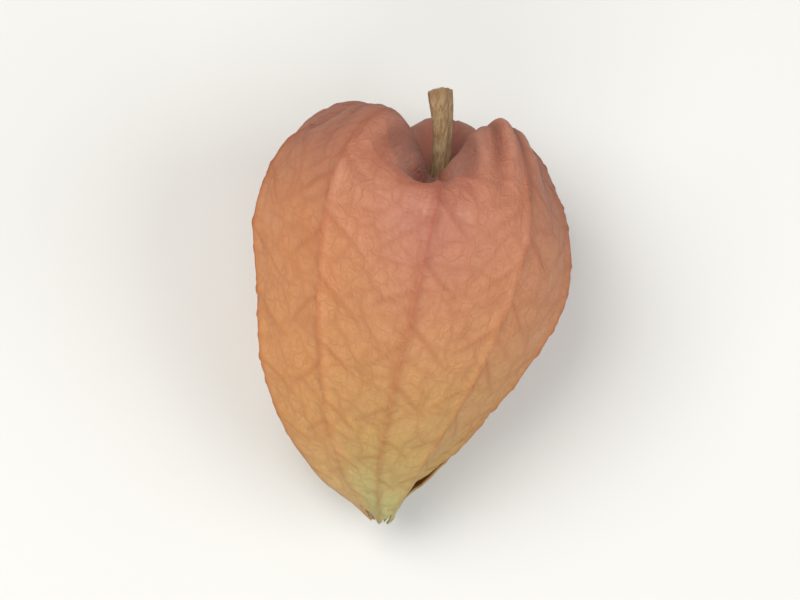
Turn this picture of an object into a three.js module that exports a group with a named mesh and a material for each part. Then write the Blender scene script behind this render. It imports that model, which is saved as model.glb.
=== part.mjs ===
// A dried physalis fruit as picked: the round berry inside its papery husk, with a short stub of
// stalk. It lies on its side. Millimetres, +Z up, stem end towards +Y, tip towards -Y.
//
// The skin of the husk is one formula of two angles:
//   arc   runs down a side of the husk, 0 at the stalk and PI at the tip;
//   turn  runs round the stem axis, 0 on the upper side, growing towards +X.
// Five main ribs stand at turn 0, 72, 144 ... degrees and five lesser ones half-way between.

import * as THREE from 'three';

const DEGREE = Math.PI / 180;
const FULL_TURN = 2 * Math.PI;

// ------------------------------------------------------------------ driving dimensions

const husk = {
  length: 39.0,          // stem end to tip, without the drawn-out tip
  halfWidth: 15.6,
  fullness: 0.39,        // above 0 the widest place moves towards the stem
  wall: 0.8,
  cornerHeight: 0.035,   // five-cornered cross-section, as a share of the radius
  stemCorners: -0.5,     // share of that height round the stalk, where the ribs are drawn in
  cornerStart: 0.6,      // arc at which the corners begin to come out
  cornerEnd: 1.5,
  ribs: 5,
  endZone: 0.45,         // arc over which swellings fade out at both ends
};

const cavity = {         // the hollow round the stalk, where the ribs are drawn in
  mouth: 0.062,          // arc at the rim round the stalk
  depth: 8.0,
  spread: 0.28,
  pull: 2.6,             // how far each main rib is pulled down between its two lobes
  topPull: 4.2,          // and how much more the upper one is
  topSpread: 0.42,
  pullArc: 0.47,
  pullSpread: 0.27,
  offset: -0.5,          // sideways, towards +X
  offsetSpread: 0.7,
};

const tip = {
  drawn: 2.2,            // length of the drawn-out tip
  spread: 0.36,
  hook: 1.6,             // sideways, towards +X
  hookSpread: 0.55,
  mouth: 0.14,           // arc left open at the points of the teeth
  teeth: 0.15,           // depth of the gaps between the teeth, as an arc
  toothPower: 7,         // the higher, the nearer to the tip the gaps begin
};

const split = {          // the skin has come apart between two teeth, low on one flank
  turn: 108 * DEGREE,
  start: 0.58,           // share of the rows at which it begins
  halfGape: 1.75,
  narrowing: 0.68,       // share of the gape that is lost again towards the tip
  drawnAside: 0.42,      // angle from an edge over which the skin gives way
  curl: 0.9,             // how far its edges stand out
  curlLength: 0.87,      // share of the split along which they do
  reach: 2.4,            // how far back from an edge the curl is felt
};

// Places where the husk has filled out or sunk in: turn, arc, size as an angle, and height.
const swellings = [
  { turn: -50 * DEGREE, arc: 0.8, size: 0.7, height: 1.3 },
  { turn: 92 * DEGREE, arc: 0.72, size: 0.7, height: -3.6 },
  { turn: -85 * DEGREE, arc: 2.4, size: 0.65, height: 2.4 },
  { turn: 85 * DEGREE, arc: 2.3, size: 0.7, height: -2.5 },
  { turn: 24 * DEGREE, arc: 1.5, size: 0.4, height: -0.45 },
  { turn: -140 * DEGREE, arc: 1.3, size: 0.45, height: -0.7 },
  { turn: 180 * DEGREE, arc: 1.6, size: 0.35, height: -1.0 },
  { turn: 80 * DEGREE, arc: 2.72, size: 0.35, height: -1.6 },
];

// Lobes round the stalk that stand higher than the others: turn, size as an angle, and rise.
const shoulders = [
  { turn: 30 * DEGREE, size: 0.5, rise: 2.0 },
  { turn: -48 * DEGREE, size: 0.55, rise: 1.2 },
];

const veins = {
  mainRib: 0.62,
  lesserRib: 0.42,
  side: 0.34,            // side veins that leave the ribs
  tie: 0.24,             // ties between side veins
  period: 6,             // rows from one side vein to the next
  ribAtEnds: 0.35,       // share of a rib's height that is left at both ends
  stemFade: [0.25, 0.8], // arcs between which veins rise from nothing, counted from the stalk
  tipFade: [0.25, 1.2],  // and counted from the tip
};

const mesh = { rows: 48, columns: 80, columnsPerRib: 8 };

const berry = {
  radius: 6.2,
  flattening: 0.95,
  wrinkle: 0.1,
  waves: [               // wrinkles that run round and along the berry
    { around: 7, along: 3, share: 1 },
    { around: 11, along: -5, share: 0.6 },
  ],
  poleFade: 4,           // the higher, the nearer to both poles the wrinkles run
  rings: 20,
  sides: 30,
  gap: 0.35,             // to the disc that carries it
};

const stalk = {
  radius: 0.85,
  discRadius: 2.3,
  discThickness: 0.8,
  discUnder: 0.8,        // radius of its two faces, as shares of discRadius
  discOver: 0.85,
  discWidest: 0.6,       // share of its thickness at which it is widest
  gap: 0.35,             // to the husk round it and above it
  stub: 8.8,             // beyond the rim of the husk
  cutRadius: 1.15,
  leanAside: 0.0225,     // bend towards -X, growing with the square of the length
  leanDown: 0.0113,      // bend away from the upper side
  flutes: 5,
  fluteDepth: 0.07,      // as a share of the radius
  fluteStart: 2.0,       // length beyond the rim over which the flutes rise
  steps: 12,
  sides: 15,
};

const rest = {
  pitch: 18 * DEGREE,    // stem end raised
  flat: 0.6,             // how deep the underside is pressed flat
};

// ------------------------------------------------------------------ the skin of the husk

const hump = (x) => Math.exp(-x * x);
const { lerp, smoothstep: smooth } = THREE.MathUtils;

// Distance between two turns as a chord, so that it has no step at half a turn.
const chord = (a, b) => Math.sqrt(2 - 2 * Math.cos(a - b));

// 1 on a main rib, 0 half-way between two.
const onRib = (turn) => (1 + Math.cos(husk.ribs * turn)) / 2;

// Radius of the husk before its corners and swellings.
const plainRadius = (arc) => husk.halfWidth * Math.sin(arc + husk.fullness * Math.sin(arc));

function skinPoint(arc, turn) {
  const fromTip = Math.PI - arc;
  const cornered = smooth(arc, husk.cornerStart, husk.cornerEnd);
  const corners = husk.cornerHeight * lerp(husk.stemCorners, 1, cornered);
  let radius = plainRadius(arc);
  radius *= 1 + corners * Math.cos(husk.ribs * turn);
  const awayFromStem = smooth(arc, cavity.mouth, husk.endZone);
  const awayFromEnds = awayFromStem * smooth(fromTip, tip.mouth, husk.endZone);
  for (const swelling of swellings) {
    const near = hump(chord(turn, swelling.turn) / swelling.size);
    radius += swelling.height * awayFromEnds * near * hump((arc - swelling.arc) / swelling.size);
  }
  let along = (husk.length / 2) * (1 - Math.cos(arc));
  along += cavity.depth * hump(arc / cavity.spread);
  const pull = cavity.pull + cavity.topPull * hump(chord(turn, 0) / cavity.topSpread);
  let drawnIn = pull * onRib(turn) ** 2;
  for (const shoulder of shoulders) {
    drawnIn -= shoulder.rise * hump(chord(turn, shoulder.turn) / shoulder.size);
  }
  along += drawnIn * hump((arc - cavity.pullArc) / cavity.pullSpread);
  along += tip.drawn * hump(fromTip / tip.spread);
  let side = cavity.offset * hump(arc / cavity.offsetSpread);
  side += tip.hook * hump(fromTip / tip.hookSpread);
  const x = side + radius * Math.sin(turn);
  return new THREE.Vector3(x, -along, radius * Math.cos(turn));
}

function skinNormal(arc, turn) {
  const step = 1e-3;
  const downSide = skinPoint(arc + step, turn).sub(skinPoint(arc - step, turn));
  const around = skinPoint(arc, turn + step).sub(skinPoint(arc, turn - step));
  return downSide.cross(around).normalize();
}

// ------------------------------------------------------------------ rows and columns

const splitRow = 2 * Math.round((mesh.rows * split.start) / 2);
const firstArc = cavity.mouth;
const lastArc = Math.PI - tip.mouth;

// A tooth has its point on a main rib, and a gap half-way between two.
function arcOfRow(row, turn) {
  const share = row / mesh.rows;
  const gap = Math.abs(Math.sin((husk.ribs * turn) / 2));
  return firstArc + (lastArc - firstArc) * share - tip.teeth * gap * share ** tip.toothPower;
}

// The first and the last column are the two edges of the split, or one line above it.
function skinAt(row, column) {
  const turnFromSplit = (FULL_TURN * column) / mesh.columns;
  let turn = split.turn + turnFromSplit;
  const arc = arcOfRow(row, turn);
  const radius = plainRadius(arc);
  const down = Math.max(0, (row - splitRow) / (mesh.rows - splitRow));
  const halfGape = split.halfGape * Math.sqrt(down) * (1 - split.narrowing * down);
  const fromFirst = turnFromSplit;
  const fromLast = FULL_TURN - turnFromSplit;
  const aside = hump(fromFirst / split.drawnAside) - hump(fromLast / split.drawnAside);
  turn += (halfGape / radius) * aside;
  const fromEdge = Math.min(fromFirst, fromLast) * radius;
  const raised = Math.sin(Math.PI * Math.min(1, down / split.curlLength));
  const curl = split.curl * raised * hump(fromEdge / split.reach);
  return { arc, turn, curl, normal: skinNormal(arc, turn), point: skinPoint(arc, turn) };
}

// Raised ribs and net. Columns 0, 8, 16 ... carry the ribs, the main ones at odd places.
function relief(row, column, arc) {
  const ribPlace = Math.floor(column / mesh.columnsPerRib);
  const after = column % mesh.columnsPerRib;
  const fromRib = Math.min(after, mesh.columnsPerRib - after);
  const fade = smooth(arc, ...veins.stemFade) * smooth(Math.PI - arc, ...veins.tipFade);
  const shifted = row + (ribPlace % 2) * (veins.period / 2);
  const main = ribPlace % 2 === 1;
  if (fromRib === 0) {
    return (main ? veins.mainRib : veins.lesserRib) * lerp(veins.ribAtEnds, 1, fade);
  }
  if ((shifted - fromRib + veins.period) % veins.period === 0) {
    return veins.side * fade;
  }
  if (fromRib >= 2 && (shifted + fromRib) % veins.period === 0) {
    return veins.tie * fade;
  }
  return 0;
}

// ------------------------------------------------------------------ lying on a surface

const restFrame = new THREE.Group();
restFrame.rotation.x = rest.pitch;
const upInFruit = new THREE.Vector3(0, Math.sin(rest.pitch), Math.cos(rest.pitch));

function lowestOfSkin() {
  let lowest = Infinity;
  for (let row = 0; row <= mesh.rows; row += 1) {
    for (let column = 0; column < mesh.columns; column += 1) {
      lowest = Math.min(lowest, skinAt(row, column).point.dot(upInFruit));
    }
  }
  return lowest;
}

const floorHeight = lowestOfSkin() + rest.flat;

// Moves a point that would lie under the surface, or too near it, up to where it may be.
function settle(point, clearance) {
  const short = floorHeight + clearance - point.dot(upInFruit);
  if (short > 0) {
    point.addScaledVector(upInFruit, short);
  }
  return point;
}

// ------------------------------------------------------------------ husk

// One face of the wall as a grid of points. `every` skips rows and columns on the inner face.
function wallFace(vertices, every, place) {
  const ids = [];
  for (let row = 0; row <= mesh.rows; row += every) {
    const line = [];
    for (let column = 0; column <= mesh.columns; column += every) {
      if (column === mesh.columns && row <= splitRow) {
        line.push(line[0]);
      } else {
        line.push(vertices.length);
        vertices.push(place(row, column));
      }
    }
    ids.push(line);
  }
  return ids;
}

// Splits each four-sided cell along the diagonal that stands out more, so that veins are sharp.
function gridTriangles(ids, height, flip) {
  const triangles = [];
  for (let i = 0; i + 1 < ids.length; i += 1) {
    for (let j = 0; j + 1 < ids[i].length; j += 1) {
      const [a, b, c, d] = [ids[i][j], ids[i + 1][j], ids[i + 1][j + 1], ids[i][j + 1]];
      const cut = height(i, j) + height(i + 1, j + 1) >= height(i + 1, j) + height(i, j + 1)
        ? [[a, b, c], [a, c, d]]
        : [[a, b, d], [b, c, d]];
      for (const triangle of cut) {
        triangles.push(flip ? triangle.reverse() : triangle);
      }
    }
  }
  return triangles;
}

// Closes the wall between an edge of the outer face and the same edge of the inner face, which
// has half as many points.
function edgeTriangles(outer, inner) {
  const triangles = [];
  for (let k = 0; k + 1 < inner.length; k += 1) {
    const [start, middle, end] = outer.slice(2 * k, 2 * k + 3);
    triangles.push([middle, start, inner[k]]);
    triangles.push([middle, inner[k], inner[k + 1]]);
    triangles.push([middle, inner[k + 1], end]);
  }
  return triangles;
}

function edgesOf(ids, every) {
  const last = ids.length - 1;
  const lastColumn = ids[0].length - 1;
  const root = splitRow / every;
  const mouth = [...ids[0]].reverse();
  const oneLip = ids.slice(root, last).map((line) => line[0]);
  const otherLip = ids.slice(root, last).map((line) => line[lastColumn]).reverse();
  return [mouth, [...oneLip, ...ids[last], ...otherLip]];
}

function huskGeometry() {
  const vertices = [];
  const outer = wallFace(vertices, 1, (row, column) => {
    const { point, normal, arc, curl } = skinAt(row, column);
    point.addScaledVector(normal, relief(row, column, arc) + curl);
    return settle(point, 0);
  });
  const inner = wallFace(vertices, 2, (row, column) => {
    const { point, normal, curl } = skinAt(row, column);
    point.addScaledVector(normal, curl - husk.wall);
    return settle(point, husk.wall);
  });
  const vein = (i, j) => relief(i, j, arcOfRow(i, 0));
  const triangles = [
    ...gridTriangles(outer, vein, false),
    ...gridTriangles(inner, () => 0, true),
  ];
  const innerEdges = edgesOf(inner, 2);
  edgesOf(outer, 1).forEach((edge, k) => triangles.push(...edgeTriangles(edge, innerEdges[k])));
  const geometry = new THREE.BufferGeometry();
  const positions = vertices.flatMap((vertex) => vertex.toArray());
  geometry.setAttribute('position', new THREE.Float32BufferAttribute(positions, 3));
  geometry.setIndex(triangles.flat());
  geometry.computeVertexNormals();
  return geometry;
}

// ------------------------------------------------------------------ stalk and berry

const mainRibs = Array.from({ length: husk.ribs }, (_, k) => (FULL_TURN * k) / husk.ribs);

// Both stand on the stem axis, which leaves the husk at the rim of the cavity.
const rim = {
  side: skinPoint(firstArc, 0).x,
  along: Math.max(...mainRibs.map((turn) => -skinPoint(firstArc, turn).y)),
};
const discTop = rim.along + husk.wall + stalk.gap;
const berryTop = discTop + stalk.discThickness + berry.gap;

function lathe(profile, sides) {
  return new THREE.LatheGeometry(profile.map(([r, y]) => new THREE.Vector2(r, y)), sides);
}

function reshape(geometry, change) {
  const position = geometry.attributes.position;
  const vertex = new THREE.Vector3();
  for (let k = 0; k < position.count; k += 1) {
    vertex.fromBufferAttribute(position, k);
    change(vertex);
    position.setXYZ(k, vertex.x, vertex.y, vertex.z);
  }
  geometry.computeVertexNormals();
  return geometry;
}

function stalkGeometry() {
  const profile = [
    [0, -discTop - stalk.discThickness],
    [stalk.discRadius * stalk.discUnder, -discTop - stalk.discThickness],
    [stalk.discRadius, -discTop - stalk.discThickness * stalk.discWidest],
    [stalk.discRadius * stalk.discOver, -discTop],
    [stalk.radius, -discTop],
  ];
  for (let k = 0; k <= stalk.steps; k += 1) {
    const share = k / stalk.steps;
    const widening = (stalk.cutRadius - stalk.radius) * share ** 3;
    profile.push([stalk.radius + widening, -rim.along + stalk.stub * share]);
  }
  profile.push([0, -rim.along + stalk.stub]);
  const bend = (vertex) => {
    const beyond = Math.max(0, vertex.y + rim.along);
    const flute = Math.cos(stalk.flutes * Math.atan2(vertex.z, vertex.x));
    const ridge = 1 + stalk.fluteDepth * flute * Math.min(1, beyond / stalk.fluteStart);
    vertex.x = vertex.x * ridge + rim.side - stalk.leanAside * beyond ** 2;
    vertex.z = vertex.z * ridge - stalk.leanDown * beyond ** 2;
  };
  return reshape(lathe(profile, stalk.sides), bend);
}

function berryGeometry() {
  const profile = [];
  const half = berry.radius * berry.flattening;
  for (let k = 0; k <= berry.rings; k += 1) {
    const angle = (Math.PI * k) / berry.rings;
    profile.push([berry.radius * Math.sin(angle), -half * Math.cos(angle)]);
  }
  profile[0][0] = 0;
  profile[berry.rings][0] = 0;
  const wrinkle = (vertex) => {
    const turn = Math.atan2(vertex.z, vertex.x);
    const height = vertex.y / half;
    let depth = 0;
    for (const wave of berry.waves) {
      depth += wave.share * (1 + Math.sin(wave.around * turn + wave.along * height));
    }
    const fade = 1 - Math.abs(height) ** berry.poleFade;
    vertex.multiplyScalar(1 - (berry.wrinkle / berry.radius) * depth * fade);
    vertex.x += rim.side;
    vertex.y -= berryTop + half;
  };
  return reshape(lathe(profile, berry.sides), wrinkle);
}

// ------------------------------------------------------------------ the object

function piece(name, geometry, colour, roughness) {
  const material = new THREE.MeshStandardMaterial({ color: colour, roughness, metalness: 0 });
  const part = new THREE.Mesh(geometry, material);
  part.name = name;
  return part;
}

restFrame.add(piece('husk', huskGeometry(), '#c98a5c', 0.72));
restFrame.add(piece('berry', berryGeometry(), '#b4512a', 0.35));
restFrame.add(piece('stalk', stalkGeometry(), '#b39a72', 0.85));
restFrame.position.z = -floorHeight;

// The origin is under the middle of the whole object, on the surface it lies on.
const group = new THREE.Group();
group.add(restFrame);
group.updateMatrixWorld(true);
const middle = new THREE.Box3().setFromObject(group, true).getCenter(new THREE.Vector3());
restFrame.position.x -= middle.x;
restFrame.position.y -= middle.y;

export default group;
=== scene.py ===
"""A dried physalis fruit in its papery husk: the looks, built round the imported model."""

import math
from functools import reduce
from types import SimpleNamespace

import bpy
from mathutils import Matrix, Vector


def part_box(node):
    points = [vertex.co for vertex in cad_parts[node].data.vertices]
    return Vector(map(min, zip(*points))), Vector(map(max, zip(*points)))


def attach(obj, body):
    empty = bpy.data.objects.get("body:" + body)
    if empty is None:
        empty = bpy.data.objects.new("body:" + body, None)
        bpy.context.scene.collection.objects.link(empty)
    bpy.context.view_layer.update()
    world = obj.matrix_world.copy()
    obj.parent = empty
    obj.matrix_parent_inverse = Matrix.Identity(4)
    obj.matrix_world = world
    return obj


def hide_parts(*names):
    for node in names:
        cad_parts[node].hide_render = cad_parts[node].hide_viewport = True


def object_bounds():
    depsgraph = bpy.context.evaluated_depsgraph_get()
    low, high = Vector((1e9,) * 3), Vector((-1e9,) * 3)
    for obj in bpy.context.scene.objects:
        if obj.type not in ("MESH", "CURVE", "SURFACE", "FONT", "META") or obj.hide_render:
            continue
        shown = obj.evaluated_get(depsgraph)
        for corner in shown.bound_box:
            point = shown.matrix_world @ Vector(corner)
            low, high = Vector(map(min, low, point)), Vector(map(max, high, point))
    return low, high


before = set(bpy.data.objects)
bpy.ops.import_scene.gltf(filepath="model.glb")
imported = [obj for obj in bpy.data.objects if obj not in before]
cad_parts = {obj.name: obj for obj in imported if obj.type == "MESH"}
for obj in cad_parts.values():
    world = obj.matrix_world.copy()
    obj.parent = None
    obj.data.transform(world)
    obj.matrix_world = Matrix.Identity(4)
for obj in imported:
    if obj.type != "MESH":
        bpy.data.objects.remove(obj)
CAD_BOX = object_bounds()

bl_info = {
    "name": "Dried physalis fruit",
    "version": (1, 0, 0),
    "blender": (4, 5, 0),
    "location": "View3D > Sidebar > Physalis",
    "description": "Builds a dried physalis fruit: its veined husk, the berry inside and the stalk",
    "category": "Object",
}

MM = 0.001
DEGREE = math.pi / 180

# The husk's skin is laid out by arc, which runs from the stalk, 0, to the tip, pi, and by turn,
# which runs round the stem axis from the upper side. Reaches are widths along either of them.
RIBS = 5                      # main ribs, with a lesser one between each two
PITCH = 18 * DEGREE           # the stem end is raised by this much as the fruit lies
RIM_ARC = 0.062               # the skin's rim round the stalk
TIP_ARC = math.pi - 0.13      # the points of the teeth
CLEAR_OF_ENDS = 0.45          # swellings fade out within this arc of both ends
CORNER_RUN = (0.6, 1.5)       # arcs between which the five corners come out
STEM_CORNERS = -0.5           # their height at the stem end, where the ribs are drawn in
PINCH_REACH = 0.22            # of the place where the teeth are drawn together
HOOK_REACH = 0.55             # of the tip's lean to one side
OFFSET_REACH = 0.7            # of the stem end's shift to one side
PULL_ARC = 0.47               # where the skin is drawn in most round the stalk
PULL_REACH = 0.27
NOTCH_TURN = -7 * DEGREE      # the notch between the two upper lobes
NOTCH_REACH = 0.3
TOOTH_ROUNDNESS = 2.4         # the higher, the narrower the gaps between the teeth
TOOTH_RUN = 7.0               # the higher, the nearer to the tip the gaps begin

SPLIT_TURN = 108 * DEGREE     # where the skin has come apart, between two teeth
SPLIT_START = 28 / 48         # where the split starts, as a share of the way to the tip
SPLIT_CLOSING = 0.68          # how much it closes again at the tip
SPLIT_GIVE = 0.42             # how far round the skin gives way beside it
RAGGED_SIZE = 0.035           # length of the waves along its edges, as a share of the way
RAGGED_SHARE = 0.12
CURL_REACH = 2.4 * MM         # how far from the split its edges stand out
CURL_RUN = 1.15               # the edges lie flat again before the tip

RIB_WIDTH = 0.5 * MM
RIB_AT_ENDS = 0.35            # share of a rib's height that is left at the stalk and the tip
VEIN_SPACING = 6.2 * MM
VEIN_WIDTH = 0.5 * MM
VEIN_SLANT = 0.9              # how far a vein runs towards the tip for each step off its rib
NET_MESH = 3.2 * MM
NET_WIDTH = 0.42 * MM
STREAK_RUN = 0.15             # the lower, the longer the streaks from end to end
SEAM = 0.001 * MM             # points as near as this are joined where the sheet closes

CUT_START = 0.97              # where the stalk begins to close at its cut, as a share of it

# Places where the husk has filled out or sunk in: turn, arc, size as an angle, height.
SWELLINGS = (
    (-50 * DEGREE, 0.8, 0.7, 1.3 * MM),
    (92 * DEGREE, 0.72, 0.7, -3.6 * MM),
    (-85 * DEGREE, 2.4, 0.65, 2.4 * MM),
    (85 * DEGREE, 2.3, 0.7, -2.5 * MM),
    (24 * DEGREE, 1.5, 0.4, -0.45 * MM),
    (-140 * DEGREE, 1.3, 0.45, -0.7 * MM),
    (180 * DEGREE, 1.6, 0.35, -1.0 * MM),
    (80 * DEGREE, 2.72, 0.35, -1.6 * MM),
)

# Folds of the skin beside the notch: turn, share of the full depth.
FOLDS = (
    (13 * DEGREE, 0.6),
    (24 * DEGREE, 1.0),
    (38 * DEGREE, 0.8),
    (55 * DEGREE, 0.9),
    (-24 * DEGREE, 0.55),
    (-47 * DEGREE, 0.4),
)
FOLD_WIDTH = 0.06
FOLD_ARC = 0.52               # where they are deepest
FOLD_REACH = 0.24
FOLD_STRAY = 0.06             # how far they wander round the stem axis
SMALL_FOLD_ARC = 0.44         # of the small folds between them
SMALL_FOLD_SHARE = 0.4        # their depth over the full one
RIDGE_SHARE = 0.35            # height of the ridges beside a fold over its depth

# Lobes round the stalk that stand higher than the others: turn, size as an angle, rise.
SHOULDERS = (
    (28 * DEGREE, 0.45, 2.2 * MM),
    (-52 * DEGREE, 0.5, 1.2 * MM),
)


# ---------------------------------------------------------------- formulas in node trees


class Number:
    """A number in a node tree. Sums and products of these lay down Math nodes, so that a shape
    or a pattern is written as a formula."""

    def __init__(self, tree, socket):
        self.tree = tree
        self.socket = socket

    def math(self, operation, *values):
        node = self.tree.nodes.new("ShaderNodeMath")
        node.operation = operation
        for place, value in zip(node.inputs, values):
            feed(self.tree, place, value)
        return Number(self.tree, node.outputs[0])

    def __add__(self, other):
        return self.math("ADD", self, other)

    def __sub__(self, other):
        return self.math("SUBTRACT", self, other)

    def __rsub__(self, other):
        return self.math("SUBTRACT", other, self)

    def __mul__(self, other):
        return self.math("MULTIPLY", self, other)

    def __truediv__(self, other):
        return self.math("DIVIDE", self, other)

    def __neg__(self):
        return self.math("MULTIPLY", self, -1.0)

    def __abs__(self):
        return self.math("ABSOLUTE", self)

    def __pow__(self, other):
        return self.math("POWER", self, other)

    __radd__ = __add__
    __rmul__ = __mul__


def feed(tree, place, value):
    """Links a value that is worked out in the tree to a socket, or sets the socket to it."""
    socket = getattr(value, "socket", value)
    if isinstance(socket, bpy.types.NodeSocket):
        tree.links.new(socket, place)
    else:
        place.default_value = value


def either(name, operation):
    """A function of one value, which is a plain number or a Number in a tree."""
    plain = getattr(math, name)

    def function(value):
        return value.math(operation, value) if isinstance(value, Number) else plain(value)

    return function


sin = either("sin", "SINE")
cos = either("cos", "COSINE")
exp = either("exp", "EXPONENT")
sqrt = either("sqrt", "SQRT")


def hump(value):
    """1 at 0, falling away smoothly on both sides."""
    return exp(-(value * value))


def smooth(value, low, high):
    """0 below low, 1 above high, and an even step between them."""
    if not isinstance(value, Number):
        share = min(1.0, max(0.0, (value - low) / (high - low)))
        return share * share * (3 - 2 * share)
    node = value.tree.nodes.new("ShaderNodeMapRange")
    node.interpolation_type = "SMOOTHSTEP"
    for name, given in (("Value", value), ("From Min", low), ("From Max", high)):
        feed(value.tree, node.inputs[name], given)
    return Number(value.tree, node.outputs["Result"])


def least(value, other):
    return value.math("MINIMUM", value, other)


def most(value, other):
    return value.math("MAXIMUM", value, other)


def to_nearest(value):
    """How far a value is from the nearest whole number."""
    return abs(value.math("FRACT", value + 100.5) - 0.5)


def node(tree, kind, settings=None, **inputs):
    """Adds a node. Settings are its own options, and the rest feeds its inputs by their names."""
    made = tree.nodes.new(kind)
    for name, value in (settings or {}).items():
        setattr(made, name, value)
    for name, value in inputs.items():
        wanted = name.replace("_", " ").lower()
        place = next(s for s in made.inputs if s.name.lower() == wanted and s.enabled)
        feed(tree, place, value)
    return made


def vector(tree, x, y, z):
    return node(tree, "ShaderNodeCombineXYZ", X=x, Y=y, Z=z).outputs[0]


def axes(tree, socket):
    parts = node(tree, "ShaderNodeSeparateXYZ", Vector=socket)
    return [Number(tree, output) for output in parts.outputs]


def scaled(tree, socket, by):
    made = node(tree, "ShaderNodeVectorMath", {"operation": "MULTIPLY"})
    feed(tree, made.inputs[0], socket)
    feed(tree, made.inputs[1], by)
    return made.outputs[0]


def plus(tree, socket, other):
    made = node(tree, "ShaderNodeVectorMath", {"operation": "ADD"})
    feed(tree, made.inputs[0], socket)
    feed(tree, made.inputs[1], other)
    return made.outputs[0]


def lengthened(tree, socket, by):
    """A vector times a number that is worked out in the tree."""
    made = node(tree, "ShaderNodeVectorMath", {"operation": "SCALE"})
    feed(tree, made.inputs[0], socket)
    feed(tree, made.inputs["Scale"], by)
    return made.outputs[0]


def far_off(tree, place, seed):
    """The place moved well away, so that two patterns laid over it don't run alike."""
    return plus(tree, place, (0.31 * seed, -0.17 * seed, 0.23 * seed))


def noise(tree, place, size, detail=3.0, rough=0.5, seed=0):
    """Soft noise about 0, from -1 to 1, with features of a given size in metres."""
    made = node(
        tree, "ShaderNodeTexNoise",
        Vector=far_off(tree, place, seed), Scale=1 / size, Detail=detail, Roughness=rough,
    )
    return (Number(tree, made.outputs[0]) - 0.5) * 2.0


def warped(tree, place, size, amount, seed=0):
    """The place moved about by soft noise."""
    made = node(
        tree, "ShaderNodeTexNoise",
        Vector=far_off(tree, place, seed), Scale=1 / size, Detail=1.0,
    )
    shift = plus(tree, made.outputs["Color"], (-0.5, -0.5, -0.5))
    return plus(tree, place, scaled(tree, shift, (amount,) * 3))


def net(tree, place, size, seed=0):
    """Distance to the threads of an uneven net, in metres, with meshes of about a given size."""
    made = node(
        tree, "ShaderNodeTexVoronoi", {"feature": "DISTANCE_TO_EDGE"},
        Vector=far_off(tree, place, seed), Scale=1 / size,
    )
    return Number(tree, made.outputs["Distance"]) * size


def thread(distance, width):
    """The round top of a thread: 1 on its line, 0 beyond its width."""
    return 1 - smooth(distance, 0.0, width)


# ---------------------------------------------------------------- the skin of the husk


def chord(turn, other):
    """Distance between two turns, with no step at half a turn."""
    return sqrt(2.000001 - 2 * cos(turn - other))


def girth(arc, size):
    """The plain round husk's radius at an arc."""
    return size.half_width * sin(arc + size.fullness * sin(arc))


def skin_point(arc, turn, size):
    """A point of the husk's skin in the fruit's own frame, with the stem axis along Y."""
    from_tip = math.pi - arc
    lobes = cos(RIBS * turn)
    corners = size.corners * (smooth(arc, *CORNER_RUN) * (1 - STEM_CORNERS) + STEM_CORNERS)
    radius = girth(arc, size) * (1 + corners * lobes)
    from_rim = smooth(arc, RIM_ARC, CLEAR_OF_ENDS)
    clear = from_rim * smooth(from_tip, math.pi - TIP_ARC, CLEAR_OF_ENDS)
    for place_turn, place_arc, reach, height in SWELLINGS:
        near = hump(chord(turn, place_turn) / reach) * hump((arc - place_arc) / reach)
        radius = radius + clear * near * height
    radius = radius * (1 - size.pinch * hump(from_tip / PINCH_REACH))
    on_rib = (1 + lobes) * 0.5
    along = size.length * 0.5 * (1 - cos(arc))
    along = along + size.cavity * hump(arc / size.cavity_reach)
    drawn_in = size.pull * on_rib * on_rib
    drawn_in = drawn_in + size.top_pull * hump(chord(turn, NOTCH_TURN) / NOTCH_REACH)
    for place_turn, reach, rise in SHOULDERS:
        drawn_in = drawn_in - rise * hump(chord(turn, place_turn) / reach)
    along = along + drawn_in * hump((arc - PULL_ARC) / PULL_REACH)
    along = along + size.tip * hump(from_tip / size.tip_reach)
    side = size.offset * hump(arc / OFFSET_REACH) + size.hook * hump(from_tip / HOOK_REACH)
    return side + radius * sin(turn), -along, radius * cos(turn)


def laid_down(x, y, z, place):
    """Turns a point of the fruit's own frame to how the fruit lies."""
    level = y * math.cos(PITCH) - z * math.sin(PITCH)
    height = y * math.sin(PITCH) + z * math.cos(PITCH)
    return x + place.x, level + place.y, height + place.z


def resting_place(size):
    """Where the fruit's own frame stands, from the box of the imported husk."""
    rows, columns = 60, 80
    points = []
    for row in range(rows + 1):
        arc = RIM_ARC + (TIP_ARC - RIM_ARC) * row / rows
        for column in range(columns):
            point = skin_point(arc, math.tau * column / columns, size)
            points.append(laid_down(*point, Vector()))
    low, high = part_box("husk")
    middles = [(max(p[k] for p in points) + min(p[k] for p in points)) / 2 for k in (0, 1)]
    lowest = min(p[2] for p in points)
    return Vector((
        (low[0] + high[0]) / 2 - middles[0],
        (low[1] + high[1]) / 2 - middles[1],
        low[2] - lowest - size.flat,
    ))


# ---------------------------------------------------------------- Geometry Nodes


SOCKETS = {int: "NodeSocketInt", float: "NodeSocketFloat"}


def plain_name(label):
    return label.lower().replace(" ", "_")


def picked(settings, labels):
    """The settings that a tree takes as its named inputs."""
    return {label: getattr(settings, plain_name(label)) for label in labels}


def new_tree(name, values):
    """An empty Geometry Nodes tree with a named input for each value."""
    tree = bpy.data.node_groups.new(name, "GeometryNodeTree")
    tree.interface.new_socket("Geometry", in_out="INPUT", socket_type="NodeSocketGeometry")
    tree.interface.new_socket("Geometry", in_out="OUTPUT", socket_type="NodeSocketGeometry")
    for label, value in values.items():
        made = tree.interface.new_socket(label, in_out="INPUT", socket_type=SOCKETS[type(value)])
        made.default_value = value
    group = tree.nodes.new("NodeGroupInput")
    sizes = {plain_name(label): Number(tree, group.outputs[label]) for label in values}
    return tree, SimpleNamespace(**sizes)


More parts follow.
